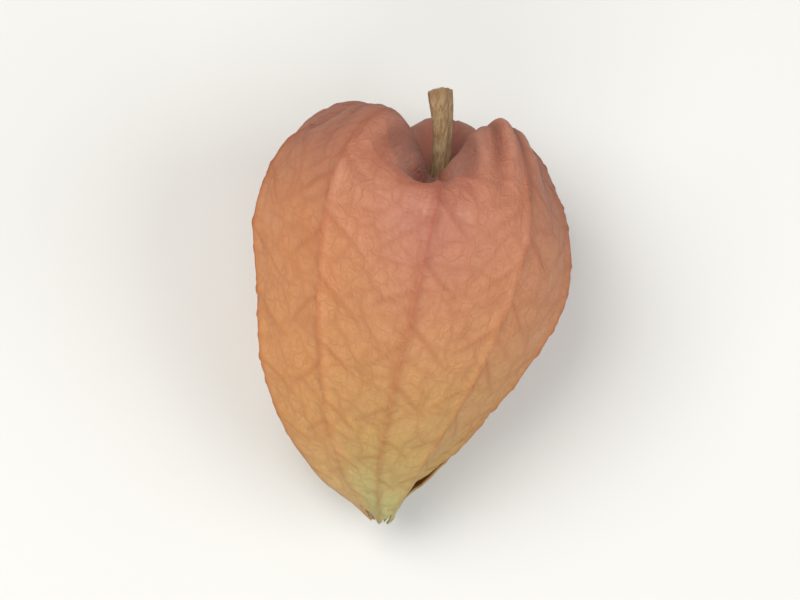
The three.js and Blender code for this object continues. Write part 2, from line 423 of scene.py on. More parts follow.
def store(tree, geometry, name, value):
    """Keeps a value on the points of the geometry under a name."""
    kind = "FLOAT" if isinstance(value, Number) else "FLOAT_VECTOR"
    settings = {"data_type": kind, "domain": "POINT"}
    made = node(
        tree, "GeometryNodeStoreNamedAttribute", settings, Geometry=geometry, Name=name, Value=value
    )
    return made.outputs[0]


def recall(tree, name, kind="FLOAT"):
    made = node(tree, "GeometryNodeInputNamedAttribute", {"data_type": kind}, Name=name)
    output = next(s for s in made.outputs if s.name == "Attribute" and s.enabled)
    return Number(tree, output) if kind == "FLOAT" else output


def move(tree, geometry, position=None, offset=None):
    made = node(tree, "GeometryNodeSetPosition", Geometry=geometry)
    for name, value in (("Position", position), ("Offset", offset)):
        if value is not None:
            feed(tree, made.inputs[name], value)
    return made.outputs[0]


def end_tree(tree, geometry, material):
    """Smooth shading, Realize Instances and Set Material, as the last nodes of a tree."""
    shaded = node(tree, "GeometryNodeSetShadeSmooth", Geometry=geometry)
    real = node(tree, "GeometryNodeRealizeInstances", Geometry=shaded.outputs[0])
    painted = node(tree, "GeometryNodeSetMaterial", Geometry=real.outputs[0], Material=material)
    output = tree.nodes.new("NodeGroupOutput")
    tree.links.new(painted.outputs[0], output.inputs[0])


def baked(name, tree, values, finish=None):
    """Runs a tree and returns its result as a plain mesh object at the origin."""
    source = bpy.data.objects.new(name + "_source", bpy.data.meshes.new(name + "_source"))
    bpy.context.scene.collection.objects.link(source)
    shape = source.modifiers.new("Shape", "NODES")
    shape.node_group = tree
    for item in tree.interface.items_tree:
        if item.in_out == "INPUT" and item.name in values:
            shape[item.identifier] = values[item.name]
    if finish:
        finish(source)
    depsgraph = bpy.context.evaluated_depsgraph_get()
    solid = source.evaluated_get(depsgraph)
    made = bpy.data.meshes.new_from_object(
        solid, preserve_all_data_layers=True, depsgraph=depsgraph
    )
    bpy.data.objects.remove(source, do_unlink=True)
    if not made.polygons:
        raise RuntimeError(f"the tree for {name} gave an empty mesh")
    made.name = name
    piece = bpy.data.objects.new(name, made)
    bpy.context.scene.collection.objects.link(piece)
    return piece


# ---------------------------------------------------------------- materials


def new_material(name):
    """A material with an empty node tree, and its output node."""
    material = bpy.data.materials.new(name)
    material.use_nodes = True
    tree = material.node_tree
    tree.nodes.clear()
    return material, tree, tree.nodes.new("ShaderNodeOutputMaterial")


def mixed(tree, share, first, second, blend="MIX"):
    """Two colours mixed by a share that a pattern gives."""
    made = tree.nodes.new("ShaderNodeMix")
    made.data_type = "RGBA"
    made.blend_type = blend
    feed(tree, made.inputs[0], share)
    for place, colour in ((made.inputs[6], first), (made.inputs[7], second)):
        given = isinstance(colour, bpy.types.NodeSocket)
        feed(tree, place, colour if given else (*colour, 1.0))
    return made.outputs[2]


def ramp(tree, value, stops):
    """A run of colours along a value from 0 to 1."""
    made = node(tree, "ShaderNodeValToRGB", Fac=value)
    made.color_ramp.interpolation = "B_SPLINE"
    points = made.color_ramp.elements
    while len(points) < len(stops):
        points.new(0.5)
    for point, (place, colour) in zip(points, stops):
        point.position = place
        point.color = (*colour, 1.0)
    return made.outputs[0]


def bump(tree, height):
    """Relief finer than the mesh. height is in metres."""
    return node(tree, "ShaderNodeBump", Strength=1.0, Distance=1.0, Height=height).outputs[0]


def attribute(tree, name, kind="Fac"):
    made = tree.nodes.new("ShaderNodeAttribute")
    made.attribute_name = name
    return Number(tree, made.outputs[kind]) if kind == "Fac" else made.outputs[kind]


def husk_patterns(tree):
    """The patterns that the colour and the relief of the husk's skin share."""
    skin = attribute(tree, "skin", "Vector")
    circle = attribute(tree, "circle", "Vector")
    arc = attribute(tree, "arc")
    patch = noise(tree, skin, 4 * MM, 3.0, 0.6, seed=2)
    strayed = warped(tree, skin, 1.3 * MM, 1.7 * MM)
    astray = warped(tree, skin, 0.6 * MM, 0.5 * MM, 5)
    return SimpleNamespace(
        skin=skin,
        arc=arc,
        patch=patch,
        cloud=noise(tree, skin, 12 * MM, 1.0, seed=1),
        streak=noise(tree, circle, 0.05, 3.0, 0.6, seed=3),
        thin_streak=noise(tree, circle, 0.018, 2.0, 0.6, seed=9),
        grain=noise(tree, skin, 0.3 * MM, 2.0, 0.6, seed=4),
        middling=thread(net(tree, strayed, 1.7 * MM), 0.22 * MM) * smooth(patch, -0.7, 0.25),
        fine=thread(net(tree, astray, 0.7 * MM, 2), 0.11 * MM),
        drawn=hump((arc - 0.5) / 0.3),
    )


def husk_colour(tree, look, pattern):
    """Colour of the skin: a run from end to end, then painted light on the flank that faces the key
    lamp, patches, streaks, veins, ribs, painted shade in the folds and fine grooves with painted
    highlights on the ridges beside them, and painted shade in the hollow round the stalk.
    """
    arc = pattern.arc
    run = arc / math.pi + pattern.cloud * 0.07 + pattern.patch * 0.025
    # the run starts with the painted shade of the hollow round the stalk
    base = ramp(tree, run, (
        (0.05, look.hollow_shade_colour),
        (0.2, look.stem_colour),
        (0.42, look.middle_colour),
        (0.62, look.lower_colour),
        (0.78, look.ochre_colour),
        (0.9, look.tip_colour),
    ))
    # painted light: the flank that faces the key lamp is made lighter and more orange
    lit_flank = smooth(attribute(tree, "side"), 0.1, 0.9) * smooth(arc, 0.7, 1.4)
    base = mixed(tree, lit_flank * 0.5, base, look.lit_flank_colour)
    upper = smooth(arc, 0.35, 0.7) * (1 - smooth(arc, 1.1, 1.7))
    band = hump(attribute(tree, "top") / 0.3) * upper
    pink = smooth(pattern.patch * 0.6 + pattern.cloud, 0.1, 0.9) * (1 - smooth(arc, 1.2, 2.0))
    base = mixed(tree, most(pink * 0.5, band * 0.55), base, look.blush_colour)
    bleached = smooth(pattern.streak * 0.6 - pattern.patch, 0.15, 0.9)
    base = mixed(tree, bleached * 0.32, base, look.pale_colour)
    base = mixed(tree, smooth(pattern.streak, 0.1, 0.7) * 0.34, base, look.streak_colour)
    # painted shade in the fine grooves where the skin is drawn in
    drawn_lines = smooth(pattern.thin_streak, 0.1, 0.6) * pattern.drawn
    base = mixed(tree, drawn_lines * 0.4, base, look.fold_shade_colour)

    spread = smooth(arc, 0.35, 0.9)
    threads = most(pattern.middling * 0.34, pattern.fine * 0.18)
    lines = most(attribute(tree, "vein") * 0.6, threads) * spread
    base = mixed(tree, lines, base, look.vein_colour, "MULTIPLY")
    on_rib = hump(attribute(tree, "rib") / (0.34 * MM)) * (0.35 + attribute(tree, "kind") * 0.25)
    base = mixed(tree, on_rib, base, look.rib_colour, "MULTIPLY")
    # painted highlight on the ridges beside the folds
    base = mixed(tree, attribute(tree, "ridge") * 0.6, base, look.ridge_highlight_colour)
    # painted shade in the folds round the hollow
    base = mixed(tree, attribute(tree, "fold") * 0.65, base, look.fold_shade_colour)
    specks = smooth(noise(tree, pattern.skin, 1.3 * MM, 1.0, seed=8), 0.5, 0.6)
    base = mixed(tree, specks * smooth(pattern.cloud, -0.3, 0.3) * 0.4, base, look.speck_colour)
    # painted shade in the hollow round the stalk, laid over all the marks above
    return mixed(tree, hump((arc - 0.14) / 0.18) * 0.55, base, look.hollow_shade_colour)


def husk_relief_height(pattern):
    """Relief of the skin that is finer than its mesh, in metres."""
    nets = pattern.middling * (0.03 * MM) + pattern.fine * (0.012 * MM)
    swell = pattern.streak * (0.03 * MM) + pattern.patch * (0.12 * MM)
    drawn_lines = smooth(pattern.thin_streak, 0.0, 0.5) * pattern.drawn * (0.05 * MM)
    return nets + swell + pattern.grain * (0.005 * MM) - drawn_lines


def husk_paper(look):
    """Thin dry skin: salmon at the stem end, then orange and ochre, olive at the tip."""
    material, tree, output = new_material("husk_paper")
    pattern = husk_patterns(tree)
    base = husk_colour(tree, look, pattern)
    normal = bump(tree, husk_relief_height(pattern))
    paper = node(tree, "ShaderNodeBsdfPrincipled", Base_Color=base, Normal=normal)
    feed(tree, paper.inputs["Roughness"], 0.5 + pattern.patch * 0.08 + pattern.grain * 0.04)
    paper.inputs["Specular IOR Level"].default_value = 0.4
    glow = node(tree, "ShaderNodeBsdfTranslucent", Normal=normal)
    feed(tree, glow.inputs["Color"], mixed(tree, 0.35, base, look.glow_colour))
    both = node(tree, "ShaderNodeMixShader", Fac=look.translucence)
    tree.links.new(paper.outputs[0], both.inputs[1])
    tree.links.new(glow.outputs[0], both.inputs[2])
    tree.links.new(both.outputs[0], output.inputs["Surface"])
    return material


def berry_skin(look):
    """Glossy dried fruit skin, orange-red, with painted shade in its wrinkles."""
    material, tree, output = new_material("berry_skin")
    place = node(tree, "ShaderNodeTexCoord").outputs["Object"]
    cloud = noise(tree, place, 5 * MM, 3.0, seed=1)
    grain = noise(tree, place, 0.3 * MM, 2.0, seed=2)
    creases = thread(net(tree, warped(tree, place, 1.2 * MM, 0.5 * MM), 1.1 * MM), 0.18 * MM)
    base = mixed(tree, smooth(cloud, -0.5, 0.6), look.dark_colour, look.colour)
    # painted shade in the creases
    base = mixed(tree, creases * 0.14, base, look.crease_shade_colour)
    normal = bump(tree, creases * (-0.012 * MM) + grain * (0.002 * MM) + cloud * (0.03 * MM))
    skin = node(tree, "ShaderNodeBsdfPrincipled", Base_Color=base, Normal=normal)
    feed(tree, skin.inputs["Roughness"], 0.3 + creases * 0.15 + grain * 0.04)
    skin.inputs["Coat Weight"].default_value = 0.35
    skin.inputs["Coat Roughness"].default_value = 0.15
    tree.links.new(skin.outputs[0], output.inputs["Surface"])
    return material


def dry_stalk(look):
    """Straw-brown stalk with long fibres, darker at the cut."""
    material, tree, output = new_material("dry_stalk")
    place = node(tree, "ShaderNodeTexCoord").outputs["Object"]
    along = attribute(tree, "along")
    fibre = noise(tree, scaled(tree, place, (1.0, 0.12, 1.0)), 0.22 * MM, 3.0, 0.6, seed=1)
    cloud = noise(tree, place, 2.4 * MM, 2.0, seed=2)
    base = mixed(tree, smooth(fibre, -0.5, 0.6), look.dark_colour, look.colour)
    base = mixed(tree, smooth(cloud, 0.0, 0.8) * 0.4, base, look.pale_colour)
    base = mixed(tree, smooth(along, 0.86, CUT_START) * 0.55, base, look.dark_colour)
    base = mixed(tree, smooth(along, CUT_START + 0.006, 0.994) * 0.5, base, look.pith_colour)
    normal = bump(tree, fibre * (0.03 * MM))
    bark = node(tree, "ShaderNodeBsdfPrincipled", Base_Color=base, Normal=normal)
    feed(tree, bark.inputs["Roughness"], 0.72 + fibre * 0.1)
    bark.inputs["Specular IOR Level"].default_value = 0.3
    tree.links.new(bark.outputs[0], output.inputs["Surface"])
    return material


def floor_finish(look):
    """Pale matte floor with the faintest unevenness."""
    material, tree, output = new_material("floor_finish")
    place = node(tree, "ShaderNodeTexCoord").outputs["Object"]
    cloud = noise(tree, place, 60 * MM, 2.0)
    tint = tuple(c * 0.97 for c in look.floor_colour)
    base = mixed(tree, smooth(cloud, -0.6, 0.6), look.floor_colour, tint)
    surface = node(tree, "ShaderNodeBsdfPrincipled", Base_Color=base)
    surface.inputs["Roughness"].default_value = 0.8
    tree.links.new(surface.outputs[0], output.inputs["Surface"])
    return material


# ---------------------------------------------------------------- settings


def length(label, about, default, **more):
    return bpy.props.FloatProperty(
        name=label, description=about, default=default, unit="LENGTH", precision=5, **more
    )


def colour(label, about, default):
    return bpy.props.FloatVectorProperty(
        name=label, description=about, default=default, subtype="COLOR", size=3, min=0, max=1
    )


def share(label, about, default):
    return bpy.props.FloatProperty(
        name=label, description=about, default=default, subtype="FACTOR", min=0, max=1
    )


class HuskSettings(bpy.types.PropertyGroup):
    length: length("Length", "Stem end to tip, without the drawn-out tip", 39.0 * MM)
    half_width: length("Half width", "From the stem axis to the widest place", 15.6 * MM)
    fullness: share("Fullness", "Moves the widest place towards the stem", 0.39)
    corners: share("Corners", "How five-cornered the husk is", 0.018)
    pinch: share("Pinch", "How much the teeth are drawn together", 0.55)
    cavity: length("Cavity", "Depth of the hollow round the stalk", 8.0 * MM)
    cavity_reach: share("Cavity reach", "Width of that hollow, as an arc", 0.28)
    pull: length("Pull", "How far each main rib is drawn in at the stem end", 2.6 * MM)
    top_pull: length("Top pull", "How much more the upper rib is drawn in", 4.2 * MM)
    tip: length("Tip", "Length of the drawn-out tip", 2.2 * MM)
    tip_reach: share("Tip reach", "Width of the drawn-out tip, as an arc", 0.36)
    hook: length("Hook", "How far the tip leans to one side", 1.6 * MM)
    offset: length("Offset", "How far the stem end lies to one side", -0.5 * MM)
    teeth: share("Teeth", "Depth of the gaps between the teeth, as an arc", 0.13)
    flat: length("Flat", "How deep the underside is pressed flat", 0.6 * MM)
    wall: length("Wall", "Thickness of the skin", 0.26 * MM)
    main_rib: length("Main rib", "Height of the five main ribs", 0.42 * MM)
    lesser_rib: length("Lesser rib", "Height of the ribs between them", 0.28 * MM)
    vein: length("Vein", "Height of the veins that leave the ribs", 0.18 * MM)
    net: length("Net", "Height of the net between the veins", 0.08 * MM)
    crumple: length("Crumple", "Height of the dried skin's unevenness", 0.5 * MM)
    pleat: length("Pleat", "Depth of the pleats round the stalk", 0.62 * MM)
    gape: length("Gape", "Half the width of the split", 1.75 * MM)
    curl: length("Curl", "How far the edges of the split stand out", 0.9 * MM)
    rows: bpy.props.IntProperty(name="Rows", description="Mesh rows", default=158, min=20)
    columns: bpy.props.IntProperty(name="Columns", description="Mesh columns", default=285, min=20)
    translucence: share("Translucence", "How much light the skin lets through", 0.3)
    # painted shade: this darker colour is laid into the hollow round the stalk
    hollow_shade_colour: colour("Cavity", "Skin in the hollow round the stalk", (0.36, 0.125, 0.08))
    # painted shade in the folds and fine grooves round that hollow
    fold_shade_colour: colour("Fold", "Skin in the folds round that hollow", (0.23, 0.075, 0.045))
    # painted highlight on the crests beside those folds
    ridge_highlight_colour: colour("Ridge", "Skin on the crests between those folds", (0.6, 0.29, 0.2))
    stem_colour: colour("Stem end", "Skin at the stem end", (0.45, 0.17, 0.105))
    middle_colour: colour("Middle", "Skin at the widest place", (0.575, 0.255, 0.13))
    lower_colour: colour("Lower", "Skin below the middle", (0.585, 0.31, 0.115))
    ochre_colour: colour("Ochre", "Skin near the tip", (0.54, 0.37, 0.12))
    tip_colour: colour("Tip", "Skin at the teeth", (0.5, 0.53, 0.23))
    # painted light: lighter, more orange skin on the flank that faces the key lamp
    lit_flank_colour: colour("Flank", "Skin on the sunny flank", (0.74, 0.33, 0.125))
    blush_colour: colour("Blush", "Pink patches", (0.46, 0.165, 0.125))
    pale_colour: colour("Pale", "Bleached patches", (0.68, 0.42, 0.24))
    streak_colour: colour("Streak", "Fine lengthwise streaks", (0.5, 0.2, 0.09))
    vein_colour: colour("Vein", "Tint of the veins over the skin", (0.72, 0.5, 0.4))
    rib_colour: colour("Rib", "Tint of the ribs over the skin", (0.78, 0.56, 0.5))
    speck_colour: colour("Speck", "Small dry specks", (0.24, 0.12, 0.05))
    glow_colour: colour("Glow", "Light through the skin", (0.9, 0.36, 0.12))


class BerrySettings(bpy.types.PropertyGroup):
    wrinkle: length("Wrinkle", "Depth of the dried wrinkles", 0.34 * MM)
    colour: colour("Skin", "Fruit skin", (0.5, 0.1, 0.02))
    dark_colour: colour("Dark", "Darker patches", (0.3, 0.045, 0.012))
    # painted shade in the berry's creases
    crease_shade_colour: colour("Crease", "Skin in the creases", (0.16, 0.025, 0.01))


class StalkSettings(bpy.types.PropertyGroup):
    radius: length("Radius", "Half the stalk's thickness", 0.85 * MM)
    cut_radius: length("Cut radius", "Half its thickness at the cut", 1.15 * MM)
    disc_radius: length("Disc radius", "Half the width of the disc that carries the berry", 2.3 * MM)
    stub: length("Stub", "Length beyond the rim of the husk", 8.8 * MM)
    bend: bpy.props.FloatProperty(name="Bend", description="Sideways bend per metre", default=45.0)
    collar: length("Collar", "How much thicker the stalk is where the husk joins it", 0.45 * MM)
    tear: length("Tear", "Unevenness of the torn end", 0.45 * MM)
    fibre: length("Fibre", "Unevenness along the stalk", 0.06 * MM)
    colour: colour("Stalk", "Dry stalk", (0.42, 0.29, 0.15))
    dark_colour: colour("Dark", "Between the fibres and at the cut", (0.2, 0.11, 0.05))
    pale_colour: colour("Pale", "Bleached patches", (0.58, 0.46, 0.28))
    pith_colour: colour("Pith", "Heart of the cut end", (0.52, 0.42, 0.27))


class StageSettings(bpy.types.PropertyGroup):
    floor_colour: colour("Floor", "Plain floor", (0.62, 0.62, 0.6))
    distance: length("Distance", "Camera to fruit", 0.36)
    lens: bpy.props.FloatProperty(name="Lens", description="Focal length in mm", default=172.0)
    beyond: bpy.props.FloatProperty(
        name="Beyond", description="Camera past straight overhead", default=-11.5 * DEGREE,
        subtype="ANGLE",
    )
    lean: bpy.props.FloatProperty(
        name="Lean", description="How far the fruit leans in the view", default=13 * DEGREE,
        subtype="ANGLE",
    )


# ---------------------------------------------------------------- the husk


HUSK_INPUTS = (
    "Length", "Half width", "Fullness", "Corners", "Pinch", "Cavity", "Cavity reach", "Pull",
    "Top pull", "Tip", "Tip reach", "Hook", "Offset", "Teeth", "Main rib", "Lesser rib",
    "Vein", "Net", "Crumple", "Pleat", "Gape", "Curl", "Rows", "Columns",
)


def side_veins(tree, skin):
    """1 on the veins that leave both sides of each rib and run slantwise towards the tip."""
    rib = recall(tree, "rib")
    waver = noise(tree, skin, 4 * MM, 2.0, seed=11) * (1.0 * MM)
    along = recall(tree, "ring") - rib * VEIN_SLANT + waver
    across = to_nearest(along / VEIN_SPACING + recall(tree, "phase")) * VEIN_SPACING * 0.7
    return thread(across, VEIN_WIDTH) * (1 - smooth(rib, 2 * MM, 4.6 * MM) * 0.5)


def stem_folds(tree, arc):
    """How much of a fold, or of a ridge between folds, the skin is round the stalk."""
    turn = recall(tree, "round")
    circle = vector(tree, cos(turn), sin(turn), arc * 0.1)
    small = 1 - smooth(abs(noise(tree, circle, 0.3, 1.0, 0.5, seed=15)), 0.0, 0.09)
    folds = [small * hump((arc - SMALL_FOLD_ARC) / FOLD_REACH) * SMALL_FOLD_SHARE]
    ridges = []
    stray = noise(tree, vector(tree, arc, 0.0, 0.0), 0.3, 1.0, seed=16) * FOLD_STRAY
    along = hump((arc - FOLD_ARC) / FOLD_REACH)
    for place, depth in FOLDS:
        away = chord(turn + stray, place)
        folds.append(hump(away / FOLD_WIDTH) * along * depth)
        ridges.append(hump((away - 2 * FOLD_WIDTH) / FOLD_WIDTH) * along * depth)
    return reduce(most, folds), reduce(most, ridges)


def husk_relief(tree, size, skin, vein, net_line):
    """Height of the ribs, veins, net and crumples over the smooth skin."""
    arc = recall(tree, "arc")
    rib = recall(tree, "rib")
    middle = smooth(arc, 0.25, 0.8) * smooth(math.pi - arc, 0.25, 1.2)
    ribs = size.lesser_rib + (size.main_rib - size.lesser_rib) * recall(tree, "kind")
    ribs = ribs * hump(rib / RIB_WIDTH) * (middle * (1 - RIB_AT_ENDS) + RIB_AT_ENDS)
    raised = most(vein * size.vein, net_line * size.net)
    sunk = smooth(rib, 0.2 * MM, 4 * MM) * size.crumple * -0.35

    broad = noise(tree, skin, 9 * MM, 1.0, seed=12) * 0.7
    creases = abs(noise(tree, skin, 6 * MM, 1.0, 0.4, seed=13)) * 0.8
    dents = noise(tree, skin, 2.4 * MM, 2.0, seed=14) * 0.16
    crumples = (broad + creases + dents) * size.crumple * smooth(arc, 0.2, 0.8)
    return ribs + (raised + sunk) * middle + crumples


def opened_split(tree, size, down, from_first, radius):
    """How far round the skin gives way beside the split, and how high its edges stand."""
    from_last = math.tau - from_first
    torn = most(down - SPLIT_START, 0.0) / (1 - SPLIT_START)
    waves = noise(tree, vector(tree, down, 0.0, 0.0), RAGGED_SIZE, 3.0, seed=21)
    ragged = waves * RAGGED_SHARE + 1
    half_gape = size.gape * sqrt(torn) * (1 - torn * SPLIT_CLOSING) * ragged / radius
    given_way = hump(from_first / SPLIT_GIVE) - hump(from_last / SPLIT_GIVE)
    from_edge = least(from_first, from_last) * radius
    lift = sin(least(torn * CURL_RUN, 1.0) * math.pi) * hump(from_edge / CURL_REACH) * size.curl
    return half_gape * given_way, lift


def husk_sheet(tree, size, place):
    """The skin as one sheet: a grid bent to the skin's formula and closed along its seam, down
    to the split. What its relief and its colours need later is kept on its points."""
    grid = node(tree, "GeometryNodeMeshGrid", Size_X=1.0, Size_Y=1.0,
                Vertices_X=size.rows, Vertices_Y=size.columns)
    grid_x, grid_y, _ = axes(tree, node(tree, "GeometryNodeInputPosition").outputs[0])
    down = grid_x + 0.5
    from_first = (grid_y + 0.5) * math.tau
    turn = from_first + SPLIT_TURN
    gap = abs(sin(turn * (RIBS / 2))) ** TOOTH_ROUNDNESS
    arc = down * (TIP_ARC - RIM_ARC) + RIM_ARC - size.teeth * gap * down ** TOOTH_RUN
    radius = girth(arc, size)
    given_way, lift = opened_split(tree, size, down, from_first, radius)
    point = skin_point(arc, turn + given_way, size)
    skin = vector(tree, *laid_down(*point, place))
    tenths = turn * (2 * RIBS / math.tau)
    sheet = grid.outputs["Mesh"]
    for name, value in (
        ("arc", arc),
        ("rib", to_nearest(tenths) * (math.tau / (2 * RIBS)) * radius),
        ("kind", smooth(cos(turn * RIBS), -0.2, 0.2)),
        ("ring", arc * (0.5 * size.length)),
        ("lift", lift),
        ("phase", tenths.math("FLOOR", tenths) * 0.37 + tenths.math("ROUND", tenths) * 0.23),
        ("round", turn),
        ("top", chord(turn, 0.0)),
        ("side", -sin(turn)),
    ):
        sheet = store(tree, sheet, name, value)
    sheet = store(tree, sheet, "skin", skin)
    sheet = store(tree, sheet, "circle", vector(tree, cos(turn), sin(turn), arc * STREAK_RUN))
    sheet = move(tree, sheet, position=skin)
    return node(tree, "GeometryNodeMergeByDistance", Geometry=sheet, Distance=SEAM).outputs[0]


def husk_tree(values, place, material):
    """The husk: its sheet, raised by ribs, veins and net and pressed flat where it lies."""
    tree, size = new_tree("Husk", values)
    sheet = husk_sheet(tree, size, place)
    skin = recall(tree, "skin", "FLOAT_VECTOR")
    vein = side_veins(tree, skin)
    strayed = warped(tree, skin, 2.6 * MM, 2.4 * MM)
    net_line = thread(net(tree, strayed, NET_MESH), NET_WIDTH)
    fold, ridge = stem_folds(tree, recall(tree, "arc"))
    for name, value in (
        ("vein", most(vein, net_line * 0.7)),
        ("fold", fold),
        ("ridge", ridge),
    ):
        sheet = store(tree, sheet, name, value)
    relief = husk_relief(tree, size, skin, vein, net_line)
    pleats = (recall(tree, "ridge") * RIDGE_SHARE - recall(tree, "fold")) * size.pleat
    raised = relief + pleats + recall(tree, "lift")
    normal = node(tree, "GeometryNodeInputNormal").outputs[0]
    sheet = move(tree, sheet, offset=lengthened(tree, normal, raised))
    x, y, z = axes(tree, node(tree, "GeometryNodeInputPosition").outputs[0])
    sheet = move(tree, sheet, position=vector(tree, x, y, most(z, 0.0)))
    end_tree(tree, sheet, material)
    return tree


class MakeHusk(bpy.types.Operator):
    """Builds the papery husk with its ribs, net of veins, teeth and split"""

    bl_idname = "physalis.make_husk"
    bl_label = "Make husk"

    def execute(self, context):
        settings = context.scene.physalis_husk
        values = picked(settings, HUSK_INPUTS)
        tree = husk_tree(values, resting_place(settings), husk_paper(settings))

        def give_wall(source):
            wall = source.modifiers.new("Wall", "SOLIDIFY")
            wall.thickness = settings.wall
            wall.offset = -1.0

        husk = baked("husk_skin", tree, values, give_wall)
        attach(husk, "root")
        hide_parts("husk")
        return {"FINISHED"}


# ---------------------------------------------------------------- the berry


BERRY_LENGTH = 0.97           # over its width
FINE_WRINKLES = 0.12          # their depth over the depth of the broad ones


def berry_tree(values, centre, radius, material):
    """A round berry with the dimples and wrinkles of drying."""
    tree, size = new_tree("Berry", values)
    ball = node(tree, "GeometryNodeMeshIcoSphere", Radius=1.0, Subdivisions=7)
    unit = node(tree, "GeometryNodeInputPosition").outputs[0]
    x, y, z = axes(tree, unit)
    spread = scaled(tree, unit, (radius,) * 3)
    broad = noise(tree, spread, 6 * MM, 1.0, seed=1)
    folds = abs(noise(tree, warped(tree, spread, 4 * MM, 2.5 * MM), 5 * MM, 1.0, seed=2))
    fine = abs(noise(tree, spread, 1.8 * MM, 1.0, seed=3))
    deep = (1 - smooth(folds, 0.0, 0.3)) + (1 - smooth(fine, 0.0, 0.3)) * FINE_WRINKLES
    reach = broad * 0.5 - deep
    scale = reach * size.wrinkle / radius + 1.0
    x, y, z = (part * scale * radius for part in (x, y * BERRY_LENGTH, z))
    level = y * math.cos(PITCH) - z * math.sin(PITCH)
    height = y * math.sin(PITCH) + z * math.cos(PITCH)
    place = vector(tree, x + centre.x, level + centre.y, height + centre.z)
    end_tree(tree, move(tree, ball.outputs["Mesh"], position=place), material)
    return tree


class MakeBerry(bpy.types.Operator):
    """Builds the berry inside the husk"""

    bl_idname = "physalis.make_berry"
    bl_label = "Make berry"

    def execute(self, context):
        settings = context.scene.physalis_berry
        low, high = (Vector(corner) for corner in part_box("berry"))
        values = picked(settings, ("Wrinkle",))
        radius = (high.x - low.x) / 2
        tree = berry_tree(values, (low + high) / 2, radius, berry_skin(settings))
        berry = baked("berry_flesh", tree, values)
        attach(berry, "root")
        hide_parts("berry")
        return {"FINISHED"}


# ---------------------------------------------------------------- the stalk


STALK_STEPS = 200             # mesh rows along the stalk
STALK_SIDES = 60              # mesh points round it
DISC_DEPTH = 2.4 * MM         # from the husk's rim in to the disc that carries the berry
COLLAR_PLACE = 0.2 * MM       # beyond the rim
COLLAR_REACH = 0.9 * MM
CUT_ROUNDING = 0.998          # 1 would close the cut end to a point
RIDGES = ((5, 0.07), (13, 0.025))   # how many run along the stalk, share of its radius
STALK_INPUTS = (
    "Radius", "Cut radius", "Disc radius", "Stub", "Bend", "Collar", "Tear", "Fibre",
)


def stalk_line(tree, size, rim, place, far, beyond):
    """The stalk's middle line, straight inside the husk and bent sideways outside it."""
    line = node(tree, "GeometryNodeCurvePrimitiveLine")
    line.inputs["End"].default_value = (0.0, 1.0, 0.0)
    line = node(tree, "GeometryNodeResampleCurve", Curve=line.outputs[0], Count=STALK_STEPS)
    outside = most(beyond, 0.0)
    x = rim.x - size.bend * outside * outside * 0.5
    z = -size.bend * outside * outside * 0.25
    curve = store(tree, line.outputs[0], "along", far)
    return move(tree, curve, position=vector(tree, *laid_down(x, beyond + rim.y, z, place)))


def stalk_ring(tree):
    """The stalk's cross-section: a ring with long ridges, about 1 in radius."""
    ring = node(tree, "GeometryNodeCurvePrimitiveCircle", Resolution=STALK_SIDES, Radius=1.0)
    around = Number(tree, node(tree, "GeometryNodeSplineParameter").outputs["Factor"])
    few, many = (cos(around * (count * math.tau)) * height for count, height in RIDGES)
    circle = node(tree, "GeometryNodeInputPosition").outputs[0]
    return move(tree, ring.outputs[0], position=lengthened(tree, circle, few + many + 1))


def stalk_thickness(tree, size, far, beyond):
    """The stalk's radius: wide at the disc, thicker at the rim, rounded off at the cut."""
    widening = (size.cut_radius - size.radius) * smooth(far, 0.55, 1.0)
    disc = (size.disc_radius - size.radius) * (1 - smooth(far, 0.02, 0.13))
    knots = noise(tree, vector(tree, far, 0.0, 0.0), 0.09, 2.0, seed=3) * (0.05 * MM)
    collar = size.collar * hump((beyond - COLLAR_PLACE) / COLLAR_REACH)
    from_cut = most(far - CUT_START, 0.0) / (1 - CUT_START)
    rounded = sqrt(1 - from_cut * from_cut * CUT_ROUNDING)
    return (size.radius + widening + disc + knots + collar) * rounded


def stalk_tree(values, rim, place, material):
    """A ridged stalk from the berry's disc, out through the rim of the husk, to its cut end."""
    tree, size = new_tree("Stalk", values)
    far = Number(tree, node(tree, "GeometryNodeSplineParameter").outputs["Factor"])
    beyond = far * (size.stub + DISC_DEPTH) - DISC_DEPTH
    body = node(
        tree, "GeometryNodeCurveToMesh",
        Curve=stalk_line(tree, size, rim, place, far, beyond), Profile_Curve=stalk_ring(tree),
        Scale=stalk_thickness(tree, size, far, beyond), Fill_Caps=True,
    )
    spot = node(tree, "GeometryNodeInputPosition").outputs[0]
    near_cut = smooth(recall(tree, "along"), 0.9, 1.0)
    ragged = noise(tree, spot, 0.5 * MM, 2.0, seed=5) * size.tear * near_cut
    dent = noise(tree, scaled(tree, spot, (1.0, 0.15, 0.5)), 0.4 * MM, 2.0, seed=6) * size.fibre
    torn = move(tree, body.outputs[0], offset=vector(tree, dent, ragged, dent * 0.5))
    end_tree(tree, torn, material)
    return tree


class MakeStalk(bpy.types.Operator):
    """Builds the dried stub of stalk and the disc that carries the berry"""

    bl_idname = "physalis.make_stalk"
    bl_label = "Make stalk"

    def execute(self, context):
        settings = context.scene.physalis_stalk
        husk = context.scene.physalis_husk
        turns = [math.tau * k / RIBS for k in range(RIBS)]
        rim_points = [skin_point(RIM_ARC, turn, husk) for turn in turns]
        rim = Vector((rim_points[0][0], min(point[1] for point in rim_points), 0.0))
        values = picked(settings, STALK_INPUTS)
        tree = stalk_tree(values, rim, resting_place(husk), dry_stalk(settings))
        stalk = baked("stalk_stub", tree, values)
        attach(stalk, "root")
        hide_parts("stalk")
        return {"FINISHED"}


# ---------------------------------------------------------------- the stage


